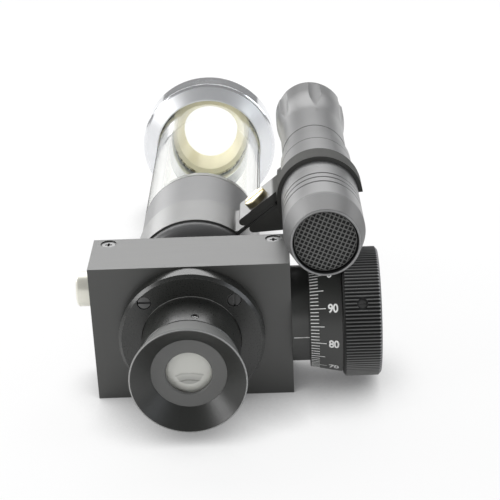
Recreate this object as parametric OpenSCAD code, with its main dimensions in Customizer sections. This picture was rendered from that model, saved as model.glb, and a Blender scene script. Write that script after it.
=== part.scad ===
// Hand-held measuring microscope: micrometer head, clear light sleeve and clip-on torch.
// Millimetres. The origin is the centre of the foot's end face, on the optical axis.
// +Y points out of the foot, +Z is up and +X is the side of the micrometer drum.
// The instrument lies on the edge of its head box and on the rim of its foot.

/* [Head box] */
// Width of the head box
head_w = 60; // [58:1:70]
// Height of the head box
head_h = 44; // [43:1:50]
// Depth of the head box along the optical axis
head_d = 20.8; // [20.8:0.4:26]
// Height of the box's middle above the optical axis
head_lift = 0.15; // [0:0.05:0.5]
// Thickness of the front wall
front_wall = 3; // [2.6:0.1:3.2]
// Thickness of the side walls
side_wall = 5; // [4:0.25:5]
// Thickness of the top and bottom walls
top_wall = 3; // [2.5:0.25:3]
// Thickness of the rear cover
cover_t = 6; // [5:0.25:6]
// Distance of the cover screws from the box's sides
cover_screw_in = 4.8; // [4:0.2:7]

/* [Eyepiece] */
// Thickness of the eyepiece flange
flange_t = 5.3; // [4.5:0.1:7]
// Distance of the flange screws from the flange's edge
flange_screw_in = 3.05; // [2.8:0.05:3.8]
// Radius of the eyepiece barrel
barrel_r = 14.8; // [14:0.1:15.4]
// Length of the barrel that shows in front of the flange
barrel_len = 14.2; // [12:0.2:18]
// Radius of the lens cell that slides in the barrel
cell_r = 11; // [10.4:0.1:11.4]
// Clear radius of the eye lens
eye_clear_r = 6.7; // [5.5:0.1:7.4]
// Length of the eyecup
cup_len = 9.6; // [9:0.2:14]
// Radius of the eyecup's rim
cup_rim_r = 17; // [16.4:0.1:20]
// Depth of the eyecup's conical hollow
cup_hollow = 4.8; // [4.4:0.1:5.4]

/* [Micrometer] */
// Distance of the micrometer axis behind the head's front face
micro_depth = 10.4; // [9.6:0.1:10.8]
// Radius of the micrometer sleeve
micro_sleeve_r = 14.6; // [13:0.1:14.8]
// Length of the sleeve that shows beside the box
micro_sleeve_show = 5.3; // [4:0.1:8]
// Length of the thimble
thimble_len = 10; // [9:0.25:13]
// Radius of the thimble at its graduated edge
thimble_r = 16.5; // [16.2:0.1:17]
// Radius of the thimble beside the knob
thimble_r_out = 18.3; // [17.5:0.1:18.6]
// Radius of the knob over its ribs
knob_r = 19.7; // [19.2:0.1:19.8]
// Length of the knob
knob_len = 11.3; // [9:0.1:14]
// Number of ribs round the knob
knob_ribs = 110; // [60:1:120]
// Depth of the ribs
rib_depth = 0.6; // [0.3:0.05:0.8]
// Radius of the spindle's journal
journal_r = 5; // [4:0.1:5.5]
// Radius of the lead screw
lead_r = 2; // [1.8:0.1:2.2]
// Radius of the spring plug's head
plug_r = 5.3; // [5:0.1:6]
// Length of the spring plug's head
plug_head = 4.8; // [4:0.1:6]
// Distance of the spring plug below the box's top
plug_in = 11.4; // [10:0.2:12]

/* [Reticle carriage] */
// Width of the carriage plate
carriage_w = 24; // [22:0.5:25]
// Gap between the carriage plate and the box's top and bottom walls
carriage_gap = 2; // [1:0.25:2.5]
// Thickness of the carriage plate
carriage_t = 5; // [4.8:0.05:5]
// Travel of the carriage to each side
carriage_travel = 4; // [3:0.25:4]
// Radius of the carriage's window
window_r = 8; // [6:0.25:8.4]
// Radius of the two guide rods
rod_r = 1.5; // [1:0.1:1.6]
// Distance of each guide rod from the carriage plate's edge
rod_in = 3.5; // [3:0.25:4]
// Thickness of each scale glass
reticle_t = 1.2; // [1:0.1:1.4]

/* [Objective tube] */
// Radius of the objective tube and of the clear sleeve
tube_r = 20; // [19:0.25:21]
// Length of the objective tube without its spigot
tube_len = 41; // [38:1:60]
// Gap between the head box and the objective tube
neck_gap = 13.2; // [12:0.2:20]
// Radius of the neck
neck_r = 13; // [12:0.25:14]
// Length of the tube's spigot inside the clear sleeve
spigot_len = 6; // [4:0.5:8]
// Wall of the clear sleeve
sleeve_wall = 4.4; // [3.5:0.1:5]
// Length of the clear sleeve
sleeve_len = 80; // [60:1:100]

/* [Foot] */
// Height of the foot ring's rim over the clear sleeve
foot_rim = 5.8; // [4.5:0.1:10]
// Length of the foot ring
foot_len = 12.4; // [11:0.2:16]
// Depth over which the clear sleeve sits in the foot ring
foot_seat = 5.4; // [4:0.2:7]
// Radius of the hole in the aperture ring
aperture_r = 10.7; // [8:0.1:12]
// Radius of the aperture ring's mouth towards the sleeve
aperture_mouth_r = 13.5; // [12.5:0.1:14.5]

/* [Torch bracket] */
// Angle between the bracket's ears and the line from the tube's axis to the torch's axis
arm_turn = 1.14; // [0:0.01:3]
// Thickness of the tube strap's band
strap_t = 0.65; // [0.5:0.05:0.9]
// Width of the tube strap
strap_w = 16; // [14:0.5:18]
// Distance of the tube strap behind the tube's end
strap_in = 3; // [2:0.25:8]
// Thickness of the torch clip's two ears
ear_t = 2.55; // [2.2:0.05:2.8]
// Width of the torch clip's ears
ear_w = 13; // [11:0.25:14]
// Offset of the ears' middle plane from the line between the axes
ear_offset = 3.5; // [2.5:0.1:4]
// Thickness of the torch clip's band
clip_t = 1.35; // [1.1:0.05:1.5]
// Distance of the clip screw from the torch clip's band
clip_screw_back = 5.45; // [5.2:0.01:6.5]
// Radius of the clip screw's head
clip_head_r = 3.9; // [3.4:0.1:4.2]
// Thickness of the clip screw's head
clip_head_t = 1.8; // [1.4:0.1:2.4]

/* [Torch] */
// Length of the torch
torch_len = 131; // [124:0.5:140]
// Radius of the torch's grip, where the clip holds it
grip_r = 12; // [11.8:0.05:12.1]
// How much smaller the radius of the torch's tail rim is than the grip's
tail_in = 1.8; // [1.2:0.1:2.2]
// How much smaller the radius of the torch's neck is than the grip's
neck_slim = 1.45; // [1:0.05:1.6]
// How much larger the radius of the torch's head is than the grip's
head_out = 0.15; // [0.1:0.05:1]
// Length of the torch's head
torch_head_len = 51; // [46:0.5:56]
// Number of flutes round the torch's head
flutes = 6; // [4:1:10]
// Distance of the torch's axis outside the head box's side, at its tail
torch_out = 10.4; // [10:0.1:14]
// Height of the torch's tail above the micrometer's knob
torch_over = 1.05; // [1:0.05:4]
// Distance of the torch's tail rim behind the head box
torch_back = 9.7; // [8:0.1:14]
// Tilt of the torch down towards the foot
torch_dip = 3.7; // [3.2:0.1:4]
// Turn of the torch in towards the foot
torch_toe = 0.64; // [0:0.02:1]
// Travel of the tail button
button_travel = 1.2; // [0.6:0.1:1.4]

/* [Fits] */
// Radial clearance between pieces fixed to each other
seat_fit = 0.02; // [0.01:0.01:0.05]
// Radial clearance between pieces that turn or slide in each other
run_fit = 0.05; // [0.02:0.01:0.08]
// Free gap between moving faces
free_gap = 0.3; // [0.2:0.05:0.4]

/* [Hidden] */
$fn = 96;

// Stations along the optical axis, counted back from the foot's face
y_sleeve_end = foot_seat - foot_len;
y_sleeve = y_sleeve_end - sleeve_len;
y_tube = y_sleeve - tube_len;
y_head_back = y_tube - neck_gap;
y_head = y_head_back - head_d;
y_flange = y_head - flange_t;
y_barrel = y_flange - barrel_len;
y_cup = y_barrel - cup_len;
y_hollow = y_cup + cup_hollow;
y_strap = y_tube + strap_in;

// Room inside the head box
in_w = head_w - 2 * side_wall;
in_h = head_h - 2 * top_wall;
y_room = y_head + front_wall;
y_cover = y_head_back - cover_t;
room_fit = 0.02;
cover_w = head_w - 2 * 2.2;
cover_screw_r = 1.2;
cover_head_r = 2.1;
cover_sink = 0.35;
cover_head_t = 1.2;
cover_screw_len = top_wall + 3.8;
light_r = window_r + 1;

// Eyepiece: its flange reaches the head box's lower face
flange_r = head_h / 2 - head_lift;
flange_screw_ring = flange_r - flange_screw_in;
nose_r = barrel_r - 1.6;
nose_len = 3.6;
flange_head_r = 1.9;
flange_head_t = 1.6;
flange_shank_r = 1;
set_screw_r = 1.25;
barrel_screw_angle = 81;
barrel_screw_back = 2.6;
eye_lens_t = 4;
eye_lens_in = 1;
field_lens_t = 3;
cup_edge = 0.5;

// Micrometer: the drum's stations run along X from the box's right face
x_side = head_w / 2;
y_micro = y_head + micro_depth;
x_thimble = x_side + micro_sleeve_show;
x_knob = x_thimble + thimble_len;
x_drum_end = x_knob + knob_len;
web_t = 1.8;
x_web = x_knob - web_t;
spigot_r = journal_r + 3;
lug_h = in_h / 2 - spigot_r - 4;
nut_r = lead_r + 1.2;
block_len = 7;
x_block = carriage_w / 2;
x_lead_tip = x_block + block_len - carriage_travel - 4.5;
end_head_r = 6.5;
end_head_t = 1.5;
knob_screw_angle = 34;

// Carriage
carriage_h = in_h - 2 * carriage_gap;
rod_z = carriage_h / 2 - rod_in;
plug_z = head_h / 2 - plug_in;
y_carriage = y_room + free_gap;
y_rod = y_carriage + carriage_t / 2;
z_rods = [head_lift - rod_z, head_lift + rod_z];
spring_r = 2.4;
spring_wire = 0.35;
spring_turns = 8;
spring_bore_r = spring_r + spring_wire + 0.3;
z_plug = head_lift + plug_z;
plug_spigot_r = spring_bore_r + 0.9;
x_spring = -x_side - plug_head + 2;
spring_len = -x_block - block_len - x_spring;

// Tube and optics
neck_in = 8;
neck_flange_r = neck_r + 3;
neck_flange_t = 3;
neck_screw_r = 0.8;
neck_screw_ring = neck_r + 1.6;
tube_bore_r = tube_r - 3;
sleeve_bore_r = tube_r - sleeve_wall;
spigot_out_r = sleeve_bore_r - run_fit;
objective_r = 9;
cell_wall = 1.6;
objective_cell_r = objective_r + cell_wall;
cell_seat = 10;
lens_ring_t = 3;
objective_t = 4;
shoulder = 3;
foot_r = tube_r + foot_rim;
foot_cone = 2.9;
aperture_out_r = tube_r - 2;

// Torch: its axis starts at the middle of the tail rim
torch_side = x_side + torch_out;
torch_rise = head_lift + knob_r + torch_over + grip_r;
y_torch = y_head - torch_back;
clip_from = 38.4;
clip_band_w = 8.4;
t_band = clip_from + clip_band_w / 2;

// Torch bracket, drawn in the plane across the tube: first along the arm, then across it
clip_x = torch_side - t_band * cos(torch_dip) * sin(torch_toe);
clip_z = torch_rise - t_band * sin(torch_dip);
arm_angle = atan2(clip_z, clip_x) + arm_turn;
arm_reach = norm([clip_x, clip_z]) * cos(arm_turn);
arm_drop = norm([clip_x, clip_z]) * sin(arm_turn);
strap_r = tube_r + seat_fit + strap_t;
slit = 0.2;
ear_in = ear_offset - strap_t;
ear_out = ear_offset + strap_t;
ear_gap = run_fit;
ear_top_from = strap_r + 2.25;
ear_low_from = strap_r + 3.15;
clip_bore_r = grip_r + seat_fit;
clip_r = clip_bore_r + clip_t;
clip_screw_at = arm_reach - clip_r - clip_screw_back;
strap_end = clip_screw_at + 5;
clip_screw_r = 1.5;
ears_t = 2 * (ear_t + ear_gap + strap_t);
y_clip_screw = y_strap + 5;
nut_wide = 6.2;
nut_t = 1.5;
mouth_from = -6;
mouth_to = 88;

// Torch stations, counted along its axis from the tail rim
tail_rim_r = grip_r - tail_in;
body_r = grip_r - neck_slim;
ring_r = grip_r - 0.45;
torch_head_r = grip_r + head_out;
tail_taper = 9;
grooves = [19.7, 23.6, 27.2];
groove_w = 0.9;
groove_in = 0.35;
t_body = 33;
t_head = torch_len - torch_head_len;
t_slim = t_body + 0.468 * (t_head - t_body);
t_line = t_body + 0.65 * (t_head - t_body);
t_ring = t_body + 0.787 * (t_head - t_body);
t_flare = t_head + 19;
flare_len = 20;
flute_r = 5;
flute_in = 0.55;
bezel_len = 3;
button_r = tail_rim_r - 0.85;
button_deep = 0.8;
lip_t = 2.4;
lip_bore_r = tail_rim_r - 0.1;
t_press = 4.6;
t_switch = 6;
t_spring = 8.2;
t_cell = 16.1;
power_cell_r = 9;
contact_t = 1.2;
cell_room = 2.5;
power_cell_len = t_head + cell_room - contact_t - 0.2 - t_cell;
torch_wall = 1.2;
head_wall = 1.6;
t_lamp = t_head + 32;
lamp_t = 2;
chip_r = 1.8;
chip_t = 1.5;
lamp_stem_r = 6;
t_front = torch_len - bezel_len;
lamp_room_r = torch_head_r - head_wall;
bezel_bore_r = torch_head_r - 2.6;
glass_t = 1.6;

// Places a shape drawn along +Z so that it points along +Y
module facing_foot() {
    rotate([-90, 0, 0]) children();
}

// Solid of revolution about the optical axis from points of radius and station
module turned(points) {
    facing_foot() rotate_extrude() polygon(points);
}

// Cylinder along +Y from station a to station b
module bar_y(a, b, r) {
    translate([0, a, 0]) facing_foot() cylinder(h = b - a, r = r);
}

// Cylinder along +X between two places
module bar_x(a, b, r) {
    translate([a, 0, 0]) rotate([0, 90, 0]) cylinder(h = b - a, r = r);
}

// Puts a shape on the micrometer's axis
module at_micrometer() {
    translate([0, y_micro, head_lift]) children();
}

// Frame of the arm: X along the arm, Z across it, Y unchanged
module on_arm() {
    rotate([0, -arm_angle, 0]) children();
}

// Frame of the torch: +Z along its axis from the tail rim
module on_torch() {
    translate([torch_side, y_torch, torch_rise])
        rotate([-torch_dip, 0, torch_toe]) facing_foot() children();
}

// Puts a shape at each cover screw, drawn pointing into the box from its top
module at_cover_screws() {
    for (side = [-1, 1], up = [0, 1])
        translate([side * (x_side - cover_screw_in), y_head_back - cover_t / 2, head_lift])
            mirror([0, 0, up])
                translate([0, 0, -head_h / 2]) children();
}

// Puts a shape at each flange screw, drawn along +Y from the flange's front face
module at_flange_screws() {
    for (a = [45 : 90 : 315])
        rotate([0, a, 0])
            translate([flange_screw_ring, y_flange, 0]) children();
}

// Puts a shape at each screw of the neck's flange, counted from the flange's rear face
module at_neck_screws() {
    for (a = [45 : 90 : 315])
        rotate([0, a, 0])
            translate([neck_screw_ring, y_head_back + neck_flange_t, 0]) children();
}

module head_housing() {
    color([0.17, 0.17, 0.17]) difference() {
        translate([-head_w / 2, y_head, head_lift - head_h / 2]) cube([head_w, head_d, head_h]);
        translate([-in_w / 2, y_room, head_lift - in_h / 2]) cube([in_w, head_d, in_h]);
        cover_block(0, 1);
        bar_y(y_head - 1, y_room + 1, light_r);
        bar_y(y_room - reticle_t, y_room + 1, light_r + 1);
        at_micrometer() bar_x(x_side - side_wall - 1, x_side + 1, spigot_r + seat_fit);
        translate([0, y_micro, z_plug])
            bar_x(-x_side - 1, -x_side + side_wall + 1, plug_spigot_r + seat_fit);
        for (z = z_rods)
            translate([0, y_rod, z]) bar_x(-in_w / 2 - 2, in_w / 2 + 2, rod_r + seat_fit);
        at_flange_screws()
            bar_y(flange_t - 1, flange_t + front_wall - 0.6, flange_shank_r + seat_fit);
        at_cover_screws() {
            translate([0, 0, -1]) cylinder(h = top_wall + 2, r = cover_screw_r + seat_fit);
            translate([0, 0, -1]) cylinder(h = 1 + cover_sink, r = cover_head_r + cover_sink);
            translate([0, 0, cover_sink - 0.01])
                cylinder(h = cover_head_t, r1 = cover_head_r + seat_fit, r2 = cover_screw_r + seat_fit);
        }
    }
}

// The cover is wider along the top and the bottom, where its screws go in
module cover_block(fit, more) {
    translate([-in_w / 2 + fit, y_cover, head_lift - in_h / 2 + fit])
        cube([in_w - 2 * fit, cover_t + more, in_h - 2 * fit]);
    translate([0, y_cover, head_lift])
        for (up = [0, 1])
            mirror([0, 0, up])
                translate([-cover_w / 2 + fit, 0, in_h / 2 - lug_h + fit])
                    cube([cover_w - 2 * fit, cover_t + more, lug_h - 2 * fit]);
}

module rear_cover() {
    color([0.15, 0.15, 0.15]) difference() {
        cover_block(room_fit, 0);
        bar_y(y_cover - 1, y_head_back + 1, light_r);
        at_cover_screws()
            translate([0, 0, top_wall - 1])
                cylinder(h = cover_screw_len - top_wall + 1.2, r = cover_screw_r + seat_fit);
        at_neck_screws() bar_y(-5, 0, neck_screw_r + seat_fit);
    }
}

module cover_screws() {
    color([0.12, 0.12, 0.12]) at_cover_screws() difference() {
        union() {
            translate([0, 0, cover_sink])
                cylinder(h = cover_head_t, r1 = cover_head_r, r2 = cover_screw_r);
            translate([0, 0, cover_sink + cover_head_t])
                cylinder(h = cover_screw_len - cover_sink - cover_head_t, r = cover_screw_r);
        }
        for (a = [0, 90])
            rotate([0, 0, a]) translate([-1.05, -0.3, 0]) cube([2.1, 0.6, cover_sink + 0.9]);
    }
}

module eyepiece_flange() {
    color([0.16, 0.16, 0.16]) difference() {
        turned([
            [barrel_r + seat_fit, y_flange + 0.15], [barrel_r + 0.16, y_flange],
            [flange_r - 0.9, y_flange], [flange_r, y_flange + 0.9],
            [flange_r, y_head], [barrel_r + seat_fit, y_head]]);
        at_flange_screws() {
            bar_y(-1, flange_t + 1, flange_shank_r + seat_fit);
            bar_y(-1, flange_head_t + 0.2, flange_head_r + 0.25);
        }
    }
}

module flange_screws() {
    color([0.12, 0.12, 0.12]) at_flange_screws() difference() {
        union() {
            bar_y(0.2, flange_head_t + 0.2, flange_head_r);
            bar_y(flange_head_t, flange_t + front_wall - 0.8, flange_shank_r);
        }
        rotate([0, -45, 0]) translate([-3, 0, -0.3]) cube([6, 0.9, 0.6]);
    }
}

module eyepiece_barrel() {
    color([0.15, 0.15, 0.15]) difference() {
        turned([
            [cell_r + run_fit, y_barrel - nose_len], [nose_r, y_barrel - nose_len],
            [nose_r, y_barrel], [barrel_r - 0.2, y_barrel], [barrel_r, y_barrel + 0.2],
            [barrel_r, y_head], [cell_r + run_fit, y_head]]);
        rotate([0, -barrel_screw_angle, 0])
            translate([barrel_r, y_barrel + barrel_screw_back, 0])
                rotate([0, 90, 0]) translate([0, 0, -3]) cylinder(h = 4, r = set_screw_r + seat_fit);
    }
}

module barrel_set_screw() {
    color([0.6, 0.6, 0.6])
        rotate([0, -barrel_screw_angle, 0])
            translate([barrel_r - 0.5, y_barrel + barrel_screw_back, 0])
                rotate([0, -90, 0]) difference() {
                    cylinder(h = 2.4, r = set_screw_r);
                    translate([-2, -0.2, -0.1]) cube([4, 0.4, 0.6]);
                }
}

module lens_cell() {
    color([0.13, 0.13, 0.13]) turned([
        [eye_clear_r, y_hollow + 0.3], [eye_clear_r + 0.3, y_hollow],
        [cell_r, y_hollow], [cell_r, y_flange + 2],
        [cell_r - 1.2, y_flange + 2], [cell_r - 1.2, y_hollow + eye_lens_in + eye_lens_t + 1],
        [eye_clear_r + 0.8, y_hollow + eye_lens_in + eye_lens_t + 1],
        [eye_clear_r + 0.8, y_hollow + eye_lens_in], [eye_clear_r, y_hollow + eye_lens_in]]);
}

// Disc with one domed side towards the eye, from points of an arc
module domed_lens(r, edge, thick) {
    crown = thick - edge;
    big = (r * r + crown * crown) / (2 * crown);
    facing_foot() intersection() {
        cylinder(h = thick, r = r);
        translate([0, 0, big]) sphere(r = big);
    }
}

module eye_lens() {
    color([0.85, 0.9, 0.9, 0.4])
        translate([0, y_hollow + eye_lens_in + seat_fit, 0])
            domed_lens(eye_clear_r + 0.8 - seat_fit, eye_lens_t - 1.1, eye_lens_t - seat_fit);
}

module field_lens() {
    color([0.85, 0.9, 0.9, 0.4])
        translate([0, y_flange - 2.5, 0])
            domed_lens(cell_r - 1.2 - seat_fit, field_lens_t - 1.4, field_lens_t);
}

module eyecup() {
    color([0.13, 0.13, 0.13]) turned([
        [cell_r + run_fit, y_hollow], [cup_rim_r - cup_edge, y_cup], [cup_rim_r, y_cup + 0.35],
        [barrel_r + 0.1, y_barrel - 1.2], [barrel_r, y_barrel - free_gap],
        [nose_r + run_fit, y_barrel - free_gap],
        [nose_r + run_fit, y_barrel - nose_len - free_gap],
        [cell_r + run_fit, y_barrel - nose_len - free_gap]]);
}

module scale_glass() {
    color([0.8, 0.88, 0.88, 0.4]) bar_y(y_room - reticle_t, y_room, light_r + 1 - seat_fit);
}

module guide_rods() {
    color([0.75, 0.75, 0.75])
        for (z = z_rods)
            translate([0, y_rod, z]) bar_x(-in_w / 2 - 1.8, in_w / 2 + 1.8, rod_r);
}

// The carriage: a plate with a window, a nut block and a spring block behind it
module reticle_carriage() {
    block_d = micro_depth + nut_r + 0.8 - front_wall - free_gap;
    color([0.7, 0.7, 0.72]) difference() {
        union() {
            translate([-carriage_w / 2, y_carriage, head_lift - carriage_h / 2])
                cube([carriage_w, carriage_t, carriage_h]);
            translate([x_block - 1, y_carriage, head_lift - nut_r - 1.8])
                cube([block_len + 1, block_d, 2 * nut_r + 3.6]);
            translate([-x_block - block_len, y_carriage, z_plug - spring_r - 1.6])
                cube([block_len + 1, block_d, 2 * spring_r + 3.2]);
        }
        bar_y(y_carriage - 1, y_carriage + carriage_t + 1, window_r);
        bar_y(y_carriage - 1, y_carriage + reticle_t, light_r + seat_fit);
        for (z = z_rods)
            translate([0, y_rod, z]) bar_x(-x_side, x_side, rod_r + run_fit);
        at_micrometer() bar_x(x_block - 2, x_side, nut_r + seat_fit);
    }
}

module carriage_nut() {
    color([0.8, 0.65, 0.3]) at_micrometer() difference() {
        bar_x(x_block - 1, x_block + block_len, nut_r);
        bar_x(x_block - 2, x_side, lead_r + run_fit);
    }
}

module line_glass() {
    color([0.8, 0.88, 0.88, 0.4]) bar_y(y_carriage, y_carriage + reticle_t - seat_fit, light_r);
}

// Wire wound on a cylinder along +Z, as one tube of six sides
module coil(r, wire, len, turns) {
    steps = 8 * turns;
    rise = (len - 2 * wire) / steps;
    points = [for (i = [0 : steps], k = [0 : 5])
        let (a = i * 45, q = r + wire * cos(k * 60))
            [q * cos(a), q * sin(a), wire + i * rise + wire * sin(k * 60)]];
    sides = [for (i = [0 : steps - 1], k = [0 : 5])
        let (m = 6 * i, n = (k + 1) % 6)
            each [[m + k, m + n, m + 6 + n], [m + k, m + 6 + n, m + 6 + k]]];
    ends = [for (k = [1 : 4]) each [[0, k + 1, k], [6 * steps, 6 * steps + k, 6 * steps + k + 1]]];
    polyhedron(points, concat(sides, ends), convexity = 10);
}

module return_spring() {
    color([0.7, 0.7, 0.7])
        translate([x_spring + 0.05, y_micro, z_plug])
            rotate([0, 90, 0]) coil(spring_r, spring_wire, spring_len - 0.1, spring_turns);
}

module spring_plug() {
    color([0.85, 0.83, 0.76]) translate([0, y_micro, z_plug]) difference() {
        union() {
            translate([-x_side - plug_head, 0, 0]) rotate([0, 90, 0]) {
                cylinder(h = 0.5, r1 = plug_r - 0.5, r2 = plug_r);
                translate([0, 0, 0.5]) cylinder(h = plug_head - 0.5, r = plug_r);
            }
            bar_x(-x_side - 0.5, -x_side + side_wall, plug_spigot_r);
        }
        bar_x(x_spring, 0, spring_bore_r);
    }
}

module micrometer_sleeve() {
    color([0.12, 0.12, 0.12]) at_micrometer() difference() {
        union() {
            bar_x(x_side, x_web - free_gap, micro_sleeve_r);
            bar_x(x_side - side_wall, x_side + 1, spigot_r);
        }
        bar_x(0, x_drum_end, journal_r + run_fit);
    }
}

module lead_spindle() {
    color([0.75, 0.75, 0.75]) at_micrometer() difference() {
        union() {
            bar_x(x_lead_tip, x_side, lead_r);
            bar_x(x_side - side_wall + 1, x_drum_end - end_head_t - 0.7, journal_r);
        }
        bar_x(x_drum_end - 8, x_drum_end, 1.5 + seat_fit);
    }
}

module thimble() {
    color([0.14, 0.14, 0.14]) at_micrometer() rotate([0, 90, 0]) rotate_extrude() polygon([
        [micro_sleeve_r + free_gap, x_thimble + 0.3], [thimble_r - 0.5, x_thimble],
        [thimble_r, x_thimble + 0.1], [thimble_r_out, x_knob - 0.4],
        [thimble_r_out - 0.5, x_knob - 0.3], [thimble_r_out - 0.5, x_knob],
        [journal_r + seat_fit, x_knob], [journal_r + seat_fit, x_web],
        [micro_sleeve_r + free_gap, x_web]]);
}

// Straight ribs round the knob: a star of triangles trimmed by the turned, chamfered form
module knurled_knob() {
    bevel = 0.9;
    x_recess = x_drum_end - end_head_t - 0.7;
    star = [for (i = [0 : 2 * knob_ribs - 1])
        let (q = knob_r - rib_depth * (i % 2)) [q * cos(180 * i / knob_ribs), q * sin(180 * i / knob_ribs)]];
    color([0.14, 0.14, 0.14]) at_micrometer() difference() {
        intersection() {
            translate([x_knob, 0, 0]) rotate([0, 90, 0]) linear_extrude(knob_len) polygon(star);
            rotate([0, 90, 0]) rotate_extrude() polygon([
                [journal_r + seat_fit, x_knob], [knob_r - bevel, x_knob],
                [knob_r + 0.1, x_knob + bevel], [knob_r + 0.1, x_drum_end - bevel],
                [knob_r - bevel, x_drum_end], [end_head_r + 0.6, x_drum_end],
                [end_head_r + 0.3, x_recess], [journal_r + seat_fit, x_recess]]);
        }
        knob_screw_place() {
            cylinder(h = knob_r, r = set_screw_r + seat_fit);
            cylinder(h = 0.6 + rib_depth, r = set_screw_r + 0.4);
        }
    }
}

// The knob's set screw points in at the drum's axis, towards the eye and above it
module knob_screw_place() {
    rotate([-knob_screw_angle, 0, 0])
        translate([x_knob + knob_len / 2, -knob_r - 0.5, 0]) facing_foot() children();
}

module knob_set_screw() {
    color([0.3, 0.3, 0.3]) at_micrometer() knob_screw_place() difference() {
        translate([0, 0, 2]) cylinder(h = knob_r - journal_r - 1.6, r = set_screw_r);
        translate([-2, -0.25, 1.9]) cube([4, 0.5, 0.9]);
    }
}

module drum_end_screw() {
    color([0.7, 0.7, 0.7]) at_micrometer() difference() {
        union() {
            bar_x(x_drum_end - end_head_t - 0.7, x_drum_end - 0.7, end_head_r);
            bar_x(x_drum_end - 7, x_drum_end - end_head_t, 1.5);
        }
        translate([x_drum_end - 1.5, -0.5, -end_head_r - 1]) cube([3, 1, 2 * end_head_r + 2]);
    }
}

module tube_neck() {
    color([0.13, 0.13, 0.13]) difference() {
        turned([
            [light_r, y_head_back], [neck_flange_r, y_head_back],
            [neck_flange_r, y_head_back + neck_flange_t - 0.4],
            [neck_flange_r - 0.4, y_head_back + neck_flange_t], [neck_r, y_head_back + neck_flange_t],
            [neck_r, y_tube + neck_in], [neck_r - 2, y_tube + neck_in], [light_r, y_tube]]);
        at_neck_screws() bar_y(-5, 1, neck_screw_r + seat_fit);
    }
}

module neck_screws() {
    color([0.6, 0.6, 0.6]) at_neck_screws() difference() {
        union() {
            bar_y(0, 0.9, 1.25);
            bar_y(-4.8, 0.5, neck_screw_r);
        }
        translate([-2, 0.5, -0.2]) cube([4, 1, 0.4]);
    }
}

module objective_tube() {
    round_edge = [for (a = [0 : 11.25 : 90])
        [tube_r - shoulder * (1 - sin(a)), y_tube + shoulder * (1 - cos(a))]];
    color([0.16, 0.16, 0.16]) turned(concat([[neck_r + seat_fit, y_tube]], round_edge, [
        [tube_r, y_sleeve], [spigot_out_r, y_sleeve],
        [spigot_out_r, y_sleeve + spigot_len], [objective_cell_r + seat_fit, y_sleeve + spigot_len],
        [objective_cell_r + seat_fit, y_sleeve + spigot_len - cell_seat],
        [tube_bore_r, y_sleeve + spigot_len - cell_seat],
        [tube_bore_r, y_tube + neck_in], [neck_r + seat_fit, y_tube + neck_in]]));
}

module objective_cell() {
    y_end = y_sleeve + spigot_len;
    color([0.13, 0.13, 0.13]) turned([
        [objective_r - 1.2, y_end - cell_seat], [objective_cell_r, y_end - cell_seat],
        [objective_cell_r, y_end], [objective_r + 0.6, y_end],
        [objective_r + 0.6, y_end - lens_ring_t], [objective_r, y_end - lens_ring_t],
        [objective_r, y_end - lens_ring_t - objective_t],
        [objective_r - 1.2, y_end - lens_ring_t - objective_t]]);
}

module objective_lens() {
    color([0.85, 0.9, 0.9, 0.4])
        translate([0, y_sleeve + spigot_len - lens_ring_t - objective_t, 0])
            domed_lens(objective_r - seat_fit, 0.6 * objective_t, objective_t - seat_fit);
}

module lens_ring() {
    y_end = y_sleeve + spigot_len;
    color([0.2, 0.2, 0.2]) turned([
        [objective_r - 1.2, y_end - lens_ring_t], [objective_r + 0.6 - seat_fit, y_end - lens_ring_t],
        [objective_r + 0.6 - seat_fit, y_end - 0.8], [objective_r - 0.4, y_end - 0.8]]);
}

module light_sleeve() {
    color([0.85, 0.92, 0.88, 0.35]) turned([
        [sleeve_bore_r + 0.3, y_sleeve], [tube_r - 0.3, y_sleeve], [tube_r, y_sleeve + 0.3],
        [tube_r, y_sleeve_end], [sleeve_bore_r, y_sleeve_end], [sleeve_bore_r, y_sleeve + 0.3]]);
}

module foot_ring() {
    color([0.82, 0.82, 0.83]) turned([
        [tube_r + seat_fit, -foot_len], [tube_r + 0.5, -foot_len],
        [foot_r - 0.3, foot_cone - foot_len], [foot_r, foot_cone - foot_len + 0.3],
        [foot_r, -1.2], [foot_r - 1.2, 0], [aperture_out_r + seat_fit, 0],
        [aperture_out_r + seat_fit, y_sleeve_end], [tube_r + seat_fit, y_sleeve_end]]);
}

module aperture_ring() {
    color([0.93, 0.9, 0.78]) turned([
        [aperture_mouth_r, y_sleeve_end], [aperture_out_r, y_sleeve_end], [aperture_out_r, 0],
        [aperture_r, 0], [aperture_r, -1]]);
}

// Thin band round the tube whose two ends stand out side by side along the arm
module tube_strap() {
    color([0.14, 0.14, 0.14]) translate([0, y_strap, 0]) on_arm() facing_foot() difference() {
        union() {
            cylinder(h = strap_w, r = strap_r);
            translate([0, -ear_out, 0]) cube([strap_end, 2 * strap_t, strap_w]);
            strap_fillet();
        }
        translate([0, 0, -1]) cylinder(h = strap_w + 2, r = tube_r + seat_fit);
        translate([tube_r - 2, -ear_offset - slit / 2, -1])
            cube([strap_end, slit, strap_w + 2]);
        translate([clip_screw_at, 0, y_clip_screw - y_strap]) rotate([90, 0, 0])
            cylinder(h = 20, r = clip_screw_r + run_fit);
    }
}

// Rounded corner where the upper ear leaves the band
module strap_fillet() {
    bend = 1.2;
    along = sqrt(pow(strap_r + bend, 2) - pow(ear_out + bend, 2));
    difference() {
        linear_extrude(strap_w) polygon([
            [along * 0.9, -ear_out], [along, -ear_out],
            [along * strap_r / (strap_r + bend), -(ear_out + bend) * strap_r / (strap_r + bend)]]);
        translate([along, -ear_out - bend, -1]) cylinder(h = strap_w + 2, r = bend);
    }
}

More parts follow.
